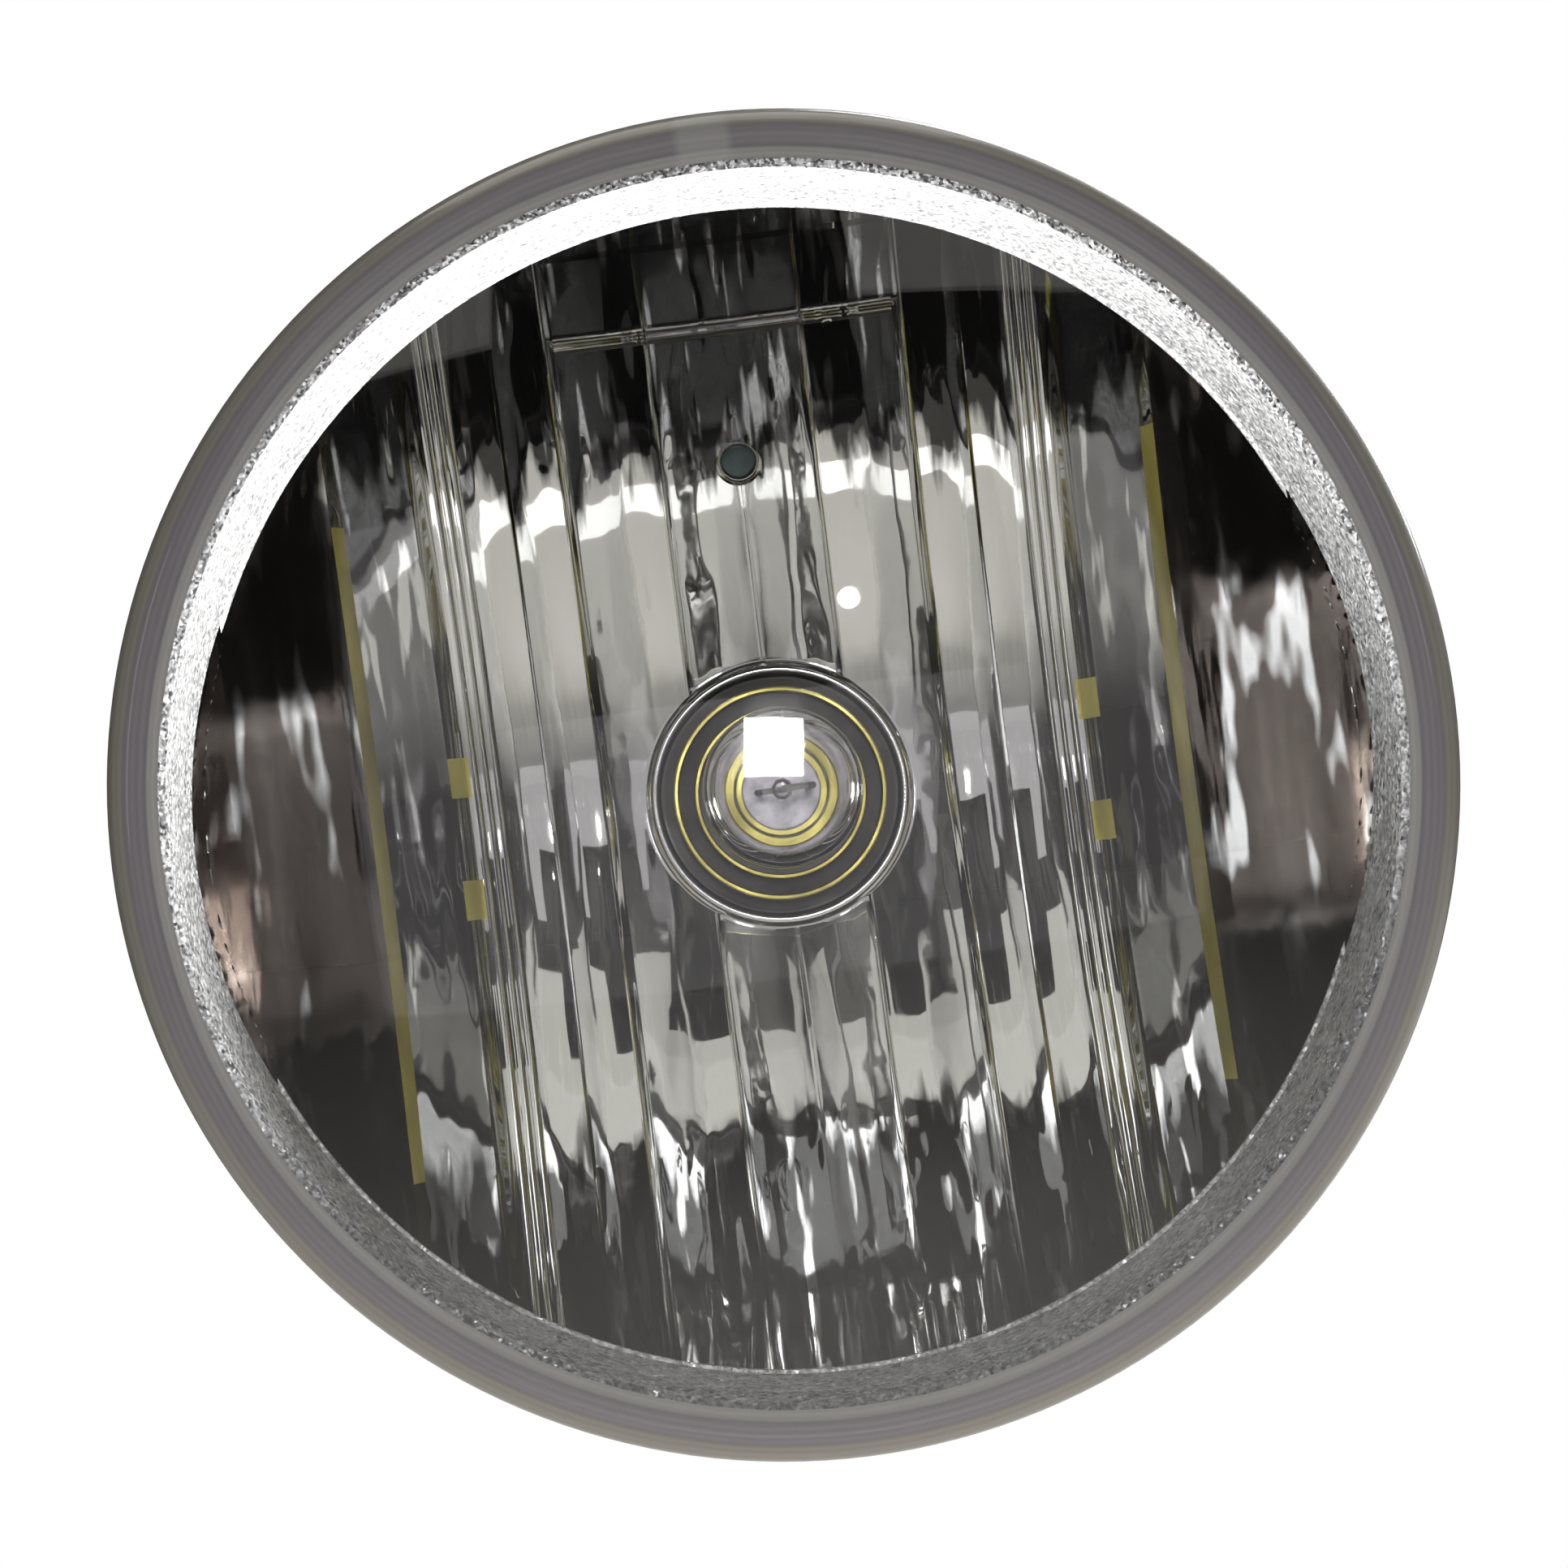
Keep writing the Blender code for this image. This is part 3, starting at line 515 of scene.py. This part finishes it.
def lens_outline():
    outline = []
    for step in range(DOME_RINGS + 1):
        radius = DOME_EDGE * step / DOME_RINGS
        outline.append((radius, dome_depth(radius)))
    for step in range(1, RIM_RINGS + 1):
        angle = math.radians(90 * step / RIM_RINGS)
        radius = DOME_EDGE + (RIM_RADIUS - DOME_EDGE) * math.sin(angle)
        outline.append((radius, RIM_FALL * (1 - math.cos(angle))))
    inside, outside = TONGUE
    outline += [(RIM_RADIUS, RIM_END - RIM_ROUND), (RIM_RADIUS - RIM_ROUND, RIM_END), (outside, RIM_END)]
    outline += [(outside, TONGUE_END - TONGUE_ROUND), (outside - TONGUE_ROUND, TONGUE_END)]
    outline += [(inside + TONGUE_ROUND, TONGUE_END), (inside, TONGUE_END - TONGUE_ROUND)]
    outline.append((inside, TONGUE_ROOT))
    for step in range(DOME_RINGS, -1, -1):
        radius = DOME_INSIDE_EDGE * step / DOME_RINGS
        outline.append((radius, dome_depth(radius) + LENS_WALL))
    return outline


def make_lens():
    lens = revolve("lens_shell", lens_outline(), clear_look())
    glued = plain_look("wetted_sealant", (0.36, 0.345, 0.365), 0.6, mottle=0.08, mottle_scale=300.0)
    rim_back = RIM_END - 0.02
    second_coat(lens, glued, lambda radius, depth: radius > TONGUE[0] - 0.05 and depth > rim_back)
    second_coat(lens, rim_look(), lambda radius, depth: (
        radius > RIM_BAND and depth < min(rim_back, radius - DOME_EDGE + RIM_FACE_MARGIN)
    ))
    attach(lens, "lamp")
    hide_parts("lens")


# The mirror.


def mirror_room(x, z):
    """1 at the height of the axis, down to 0 where a line at x meets the mirror's rim."""
    return max(0.0, 1 - (z * z) / (MIRROR_RADIUS**2 - x * x))


def strip_bow(across, strips):
    """Which of the strips a place is in, as its height and how far off its middle it is, from -1 to 1."""
    for inside, outside, height in strips:
        if inside <= across < outside:
            return height, (2 * across - inside - outside) / (outside - inside)
    return 0.0, 1.0


def moulded_ripple(x, z):
    """The fine unevenness of the mirror's face, with upright flames near its top and bottom."""
    ripple = noise.noise(Vector((x, z * 0.6, 3.7)) / RIPPLE_LENGTH)
    ripple += 0.5 * noise.noise(Vector((x, z, 9.1)) / (RIPPLE_LENGTH * 0.4))
    streak = noise.noise(Vector((x / STREAK[0], z / STREAK[1], 5.5)))
    width, height, depth, least = FLAME
    flame = max(0.0, noise.noise(Vector((x / width, z / height, 2.5))) - least)
    return RIPPLE * ripple + STREAK[2] * streak + depth * flame * smooth_step(abs(z), *FLAME_ZONE)


def mirror_depth(x, z):
    """Depth of the mirrored face: a paraboloid with concave flutes, raised beads, side steps and a ledge."""
    across = abs(x)
    middle = min(across, FLAT_HALF)
    depth = MIRROR_VERTEX - z * z / (4 * FOCAL_LENGTH) - middle * middle / (4 * SIDE_FOCUS)
    depth -= (across * across - middle * middle) / (4 * FOCAL_LENGTH)
    for inside, outside, rise in RISERS:
        depth -= rise * smooth_step(across, inside, outside)
    for inside, outside, rise in SIDE_STEPS:
        depth -= smooth_step(across, inside, outside) * rise * mirror_room(outside, z)
    run = min(1.0, max(0.0, (across - SHELF[0]) / (SHELF[1] - SHELF[0])))
    depth += SHELF[2] * run * mirror_room(SHELF[1], z)
    sag, where = strip_bow(across, FLUTES)
    depth += sag * (1 - where * where)
    height, where = strip_bow(across, BEADS)
    depth -= height * math.sqrt(max(0.0, 1 - where * where))
    if across <= FLUTES[1][1]:
        depth -= LEDGE_RISE * smooth_step(z, *LEDGE) + LEDGE_TOP[2] * smooth_step(z, *LEDGE_TOP[:2])
    depth += moulded_ripple(x, z)
    skirt = smooth_step(math.hypot(x, z), *SKIRT)
    return depth + (MIRROR_RIM_DEPTH - depth) * skirt


def spaced(edges, pitch):
    """Grid lines on every edge, and evenly spaced between them at about the pitch."""
    lines = []
    for start, end in zip(edges, edges[1:]):
        steps = max(1, round((end - start) / pitch))
        lines += [start + (end - start) * step / steps for step in range(steps)]
    return lines + [edges[-1]]


def mirror_lines():
    """The grid's lines across the lamp and up it, finer on the beads and the narrow risers."""
    margin = MIRROR_RADIUS + MIRROR_GRID_MARGIN
    edges = {edge for strip in FLUTES + BEADS + RISERS + SIDE_STEPS for edge in strip[:2]}
    half = set(spaced(sorted(edges) + [margin], MIRROR_PITCH))
    for low, high, _ in BEADS + RISERS[::2]:
        half |= {low + (high - low) * step / FINE_STEPS for step in range(1, FINE_STEPS)}
    half = sorted(half)
    across = [-x for x in half[:0:-1]] + half
    up = spaced([-margin, *LEDGE, *LEDGE_TOP[:2], margin], MIRROR_PITCH)
    return across, up


def mirror_mesh():
    """The mirrored face as a grid, trimmed round at its rim, at the bulb hole and at the breather."""
    across, up = mirror_lines()
    shape = bmesh.new()
    grid = [[shape.verts.new((x, 0, z)) for x in across] for z in up]
    circles = [((0, 0), MIRROR_RADIUS, True), ((0, 0), BULB_HOLE, False)]
    circles.append(((0, BREATHER[0]), BREATHER[1], False))
    for row, above in zip(grid, grid[1:]):
        for i in range(len(row) - 1):
            corners = [row[i], row[i + 1], above[i + 1], above[i]]
            kept = True
            for centre, radius, inside in circles:
                within = [math.hypot(c.co.x - centre[0], c.co.z - centre[1]) < radius for c in corners]
                kept = kept and (any(within) if inside else not all(within))
            if kept:
                shape.faces.new(corners)
    bmesh.ops.delete(shape, geom=[v for v in shape.verts if not v.link_faces], context="VERTS")
    for corner in shape.verts:
        x, z = corner.co.x, corner.co.z
        for centre, radius, inside in circles:
            offset = Vector((x - centre[0], z - centre[1]))
            if (offset.length > radius) == inside:
                offset = offset.normalized() * radius
                x, z = centre[0] + offset.x, centre[1] + offset.y
        corner.co = place(x, mirror_depth(x, z), z)
    bmesh.ops.recalc_face_normals(shape, faces=shape.faces)
    mesh = bpy.data.meshes.new("mirror_shell")
    shape.to_mesh(mesh)
    shape.free()
    return mesh


def mirror_coat(across, z):
    """Which coat a place on the mirror has."""
    fillet, step = SIDE_STEPS
    on_step = step[0] < across < step[1] and YELLOW_LINE[0] < z < YELLOW_LINE[1]
    from_spots = abs(z - YELLOW_SPOT_MIDDLE)
    on_fillet = fillet[0] < across < fillet[1] and YELLOW_SPOT[0] < from_spots < YELLOW_SPOT[1]
    if on_step or on_fillet:
        return YELLOW_COAT
    on_bead = any(inside < across < outside for inside, outside, _ in BEADS)
    if on_bead or (across < FLUTES[1][1] and LEDGE[0] < z < LEDGE[1]):
        return BRIGHT_COAT
    return CHEEK_COAT_PAINTED_REFLECTION if across > step[1] else MAIN_COAT_PAINTED_REFLECTION


def make_mirror():
    mesh = mirror_mesh()
    # The mirror's main coat, darkened by painted reflection and streaked with painted highlights.
    coat = mirror_look("metallised_mirror_painted_dark", reflection_painted=True)
    mirror = new_object("mirror_shell", mesh, coat, sharp=14.0)
    unplated = plain_look("unplated_black", (0.018, 0.017, 0.016), 0.6, mottle=0.3)
    # Flat yellow strips on the side step and on the fillets.
    yellow = plain_look("yellow_strip", (0.50, 0.44, 0.10), 0.35, metallic=0.5, mottle=0.3)
    for look in (yellow, cheek_painted_reflection_look(), unplated, mirror_look("bright_mirror")):
        mesh.materials.append(look.material)
    for face in mesh.polygons:
        face.material_index = mirror_coat(abs(face.center.x) / MM, face.center.z / MM)
    thick = mirror.modifiers.new("wall", "SOLIDIFY")
    thick.thickness = MIRROR_WALL * MM
    thick.offset = 1.0 if mesh.polygons[0].normal.y > 0 else -1.0
    thick.material_offset_rim = UNPLATED
    thick.material_offset = UNPLATED
    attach(mirror, "lamp")
    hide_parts("reflector")
    make_bulb_hole_lip(unplated)
    make_breather()


def make_bulb_hole_lip(unplated):
    edge = MIRROR_VERTEX - BULB_HOLE**2 / (4 * FOCAL_LENGTH)
    outline = [(radius, edge + depth) for radius, depth in LIP_OUTLINE]
    lip = revolve("bulb_hole_lip", outline, mirror_look(), sharp=60.0)
    # Its inner wall is unplated and near-black, and this also stands in for the shade in the hole's gap:
    # partly painted shade.
    second_coat(lip, unplated, lambda radius, depth: radius < LIP_INSIDE)
    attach(lip, "lamp")


def make_breather():
    z, radius = BREATHER
    depth = mirror_depth(0.1, z)
    rim = [(radius + wider, depth + deeper) for wider, deeper in BREATHER_LIP]
    lip = revolve("breather_lip", rim, mirror_look(), steps=48, centre=(0.0, z), sharp=60.0)
    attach(lip, "lamp")
    # A near-black cup behind the breather hole: painted shade of the dark housing inside.
    cup = [(radius + wider, depth + deeper) for wider, deeper in SHADE_CUP_OUTLINE]
    cup = [(0, cup[0][1]), *cup, (0, cup[-1][1])]
    dark_matte = plain_look("breather_painted_shade", (0.012, 0.035, 0.032), 0.7, mottle=0.3, grain=0.05)
    hole_shade = revolve("breather_shade_piece", cup, dark_matte, steps=32, centre=(0.0, z), sharp=60.0)
    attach(hole_shade, "lamp")


# The bezel ring and the bulb.


def make_bezel():
    wall = []
    for step in range(BEZEL_RINGS + 1):
        share = step / BEZEL_RINGS
        radius = BEZEL_FRONT[0] + (BEZEL_BACK[0] - BEZEL_FRONT[0]) * share
        wall.append((radius, BEZEL_FRONT[1] + (BEZEL_BACK[1] - BEZEL_FRONT[1]) * share))
    ring = revolve("bezel_wall", wall + BEZEL_FOOT + BEZEL_FLANGE, stipple_look(), steps=BEZEL_STEPS)
    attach(ring, "lamp")
    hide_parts("bezel_ring")
    ring.visible_glossy = False
    return ring


def make_bulb_glass():
    inside = GLASS_RADIUS - GLASS_WALL
    angles = [math.radians(90 * step / GLASS_RINGS) for step in range(1, GLASS_RINGS + 1)]
    outline = [(0.0, GLASS_TIP)]
    outline += [(GLASS_RADIUS * math.sin(a), GLASS_TIP + GLASS_NOSE[0] * (1 - math.cos(a))) for a in angles]
    outline += [(GLASS_RADIUS, GLASS_END), (inside, GLASS_END)]
    tip = GLASS_TIP + GLASS_WALL
    outline += [(inside * math.sin(a), tip + GLASS_NOSE[1] * (1 - math.cos(a))) for a in reversed(angles)]
    outline.append((0.0, tip))
    glass = revolve("bulb_envelope", outline, quartz_look(), steps=96)
    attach(glass, "bulb")
    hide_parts("bulb_glass")


def make_bulb_foot():
    """The metal cup round the glass, gold at its front rim and dark with painted shade behind it, and the
    quartz block that closes it, in a thin gold ring that is a painted reflection of the cup.
    """
    gold = brushed_look("gold_passivated_and_painted_reflection", (0.36, 0.31, 0.09), 0.38, (1, 0.1, 1))
    cup = revolve("bulb_cup", COLLAR_OUTSIDE + COLLAR_FOOT + COLLAR_INSIDE, gold, steps=96)
    # Behind its front rim the cup is near-black: painted shade of the dark hole round it.
    dark = plain_look("collar_painted_shade", (0.030, 0.028, 0.022), 0.55, metallic=0.2, mottle=0.35)
    second_coat(cup, dark, lambda radius, depth: depth > COLLAR_DARK_DEPTH)
    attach(cup, "bulb")
    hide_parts("bulb_collar")
    cloudy = plain_look("cloudy_quartz", (0.62, 0.58, 0.66), 0.35, mottle=0.45, mottle_scale=520.0)
    block = revolve("pinch_block", PINCH_FACE + PINCH_RING, cloudy, steps=64)
    # The block's outer ring gets the cup's gold: a painted reflection of the cup in the glass.
    second_coat(block, gold, lambda radius, depth: radius > PINCH_PAINTED_REFLECTION_RADIUS)
    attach(block, "bulb")
    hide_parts("pinch_seal")


def dress_nodes():
    """Gives the solids that are shown as they are their materials."""
    sealant = plain_look("sealant_grey", (0.30, 0.29, 0.31), 0.6)
    housing = plain_look("moulded_grey", (0.24, 0.23, 0.215), 0.5, grain_scale=2200.0, grain=0.03)
    rubber = plain_look("vent_rubber", (0.035, 0.035, 0.037), 0.75, grain=0.03)
    membrane = plain_look("membrane_white", (0.8, 0.8, 0.78), 0.8, grain=0.05, grain_scale=3500)
    tungsten = brushed_look("drawn_wire", (0.30, 0.29, 0.28), 0.35, (1, 1, 1))
    base = plain_look("base_black", (0.03, 0.03, 0.032), 0.42, grain=0.02)
    tin = brushed_look("tin_plate", (0.72, 0.72, 0.70), 0.28, (1, 1, 0.05))
    coat = plain_look("black_ecoat", (0.035, 0.036, 0.04), 0.38, mottle=0.2, grain=0.03, grain_scale=900)
    zinc = brushed_look("zinc_plate", (0.62, 0.62, 0.60), 0.32, (1, 0.2, 1))
    nylon = plain_look("natural_nylon", (0.72, 0.70, 0.63), 0.5, mottle=0.06)
    looks = {
        "lens_sealant": sealant,
        "housing": housing,
        "vent_cap": rubber,
        "vent_membrane": membrane,
        "filament": tungsten,
        "bulb_base": base,
        "bulb_seal": rubber,
        "mounting_bracket": coat,
        "weld_nut_top": zinc,
        "adjuster_screw": zinc,
        "adjuster_clip": zinc,
        "adjuster_bush": nylon,
        "adjuster_nut": nylon,
    }
    pairs = {"lead_wire": tungsten, "terminal": tin, "weld_nut": zinc, "pivot_pin": zinc, "pivot_bush": nylon}
    for name, look in pairs.items():
        for side in ("left", "right"):
            looks[f"{name}_{side}"] = look
    for name, look in looks.items():
        node = nodes[name]
        node.data.materials.clear()
        node.data.materials.append(look.material)


# The studio.


def panel(name, centre, aim, size, radiance, colour=(1, 1, 1), shape="RECTANGLE"):
    """A soft light of a given brightness, out of the camera's sight."""
    data = bpy.data.lights.new(name, "AREA")
    data.shape = shape
    data.size, data.size_y = size
    area = size[0] * size[1] * (math.pi / 4 if shape == "ELLIPSE" else 1.0)
    data.energy = radiance * math.pi * area
    data.color = colour
    lamp = bpy.data.objects.new(name, data)
    lamp.location = centre
    lamp.rotation_euler = (Vector(aim) - Vector(centre)).to_track_quat("-Z", "Y").to_euler()
    lamp.visible_camera = False
    bpy.context.scene.collection.objects.link(lamp)
    return lamp


def light_only(lamp, target):
    """Keeps a lamp's light to one object, as a flag or snoot would."""
    lit = bpy.data.collections.new(f"{lamp.name}_target")
    lit.objects.link(target)
    lamp.light_linking.receiver_collection = lit
    lamp.visible_glossy = False
    lamp.visible_transmission = False


def make_floor():
    bpy.ops.mesh.primitive_grid_add(
        x_subdivisions=2, y_subdivisions=2, size=FLOOR_SIZE, location=(0, FLOOR_MIDDLE, FLOOR)
    )
    floor = bpy.context.object
    floor.name = "floor"
    paper = plain_look("pale_paper", (0.80, 0.79, 0.76), 0.8, mottle=0.02, mottle_scale=3.0, grain_scale=300.0)
    floor.data.materials.append(paper.material)
    return floor


def make_world():
    """White where the camera sees it, and a dim room for everything that the lamp reflects."""
    world = bpy.data.worlds.new("studio")
    bpy.context.scene.world = world
    world.use_nodes = True
    tree = world.node_tree
    seen = tree.nodes["Background"]
    seen.inputs["Color"].default_value = SEEN_WORLD
    around = tree.nodes.new("ShaderNodeBackground")
    around.inputs["Color"].default_value = ROOM_WORLD
    around.inputs["Strength"].default_value = ROOM_STRENGTH
    path = tree.nodes.new("ShaderNodeLightPath")
    mix = tree.nodes.new("ShaderNodeMixShader")
    tree.links.new(path.outputs["Is Camera Ray"], mix.inputs["Fac"])
    tree.links.new(around.outputs["Background"], mix.inputs[1])
    tree.links.new(seen.outputs["Background"], mix.inputs[2])
    tree.links.new(mix.outputs["Shader"], tree.nodes["World Output"].inputs["Surface"])


def make_lights(bezel, floor):
    """Panels whose reflections are the light zones of the mirror, and two that light one object each."""
    low = FLOOR + 0.01
    panel("front_wall", (0.0, -1.25, 0.0), LAMP_FACE, (1.25, 1.0), 0.40, LILAC_WHITE)
    panel("front_above", (0.0, -0.45, 0.48), LAMP_FACE, (0.9, 0.36), 0.52, SOFT_WHITE)
    panel("front_below", (0.06, -0.181, low), (0.06, -0.181, 0), (0.42, 0.026), 1.05)
    light_only(panel("bezel_glow", (0.054, -0.16, low), LAMP_FACE, (0.30, 0.10), 120.0), bezel)
    panel("overhead", (0.0, 0.30, 0.95), FLOOR_AIM, (0.8, 0.5), 1.6, WARM_WHITE)
    light_only(panel("floor_light", (0.0, -0.10, 0.95), FLOOR_AIM, (0.8, 0.5), 2.2, WARM_WHITE), floor)
    flash = panel("square_light", (0.001, -0.598, 0.034), LAMP_FACE, (0.039, 0.039), 120.0)
    flash.rotation_euler = bpy.context.scene.camera.rotation_euler
    panel("round_light", (0.081, -0.75, 0.162), LAMP_FACE, (0.018, 0.018), 60.0, shape="ELLIPSE")
    for side in (-1, 1):
        panel(f"side_dim_{side}", (side * 0.80, -0.50, 0.05), LAMP_FACE, (0.16, 0.7), 0.20, ROSE_WHITE)
        panel(f"side_strip_{side}", (side * 0.62, -0.30, 0.18), LAMP_FACE, (0.03, 0.30), 2.5)
    panel("back", (0.5, 0.9, 0.5), (0, 0, 0), (0.7, 0.7), 6.0)


def make_cards():
    """Black cards, out of the camera's sight, that the mirror shows as its dark patches."""
    dark_matte = plain_look("black_felt", (0.012, 0.012, 0.012), 0.9, mottle=0.3)
    for name, (centre, size) in CARDS.items():
        bpy.ops.mesh.primitive_plane_add(size=1, location=centre, rotation=(math.radians(90), 0, 0))
        card = bpy.context.object
        card.name = name
        card.scale = size
        card.visible_camera = False
        card.data.materials.append(dark_matte.material)


def make_camera():
    data = bpy.data.cameras.new("camera")
    data.sensor_width = SENSOR
    data.lens = SENSOR * CAMERA_DISTANCE / FRAME_WIDTH
    data.clip_start, data.clip_end = CLIP
    camera = bpy.data.objects.new("camera", data)
    bpy.context.scene.collection.objects.link(camera)
    camera.location = (CAMERA_SIDE, cad_low.y - CAMERA_DISTANCE, CAMERA_RISE)
    towards = place(0, CAMERA_TARGET_DEPTH, 0) - camera.location
    rolled = towards.to_track_quat("-Z", "Y") @ Quaternion((0, 0, 1), -ROLL)
    camera.rotation_euler = rolled.to_euler()
    bpy.context.scene.camera = camera


make_camera()
make_lens()
make_mirror()
bezel = make_bezel()
floor = make_floor()
make_world()
make_lights(bezel, floor)
make_cards()
make_bulb_glass()
make_bulb_foot()
dress_nodes()
bpy.context.scene.view_settings.view_transform = "Standard"
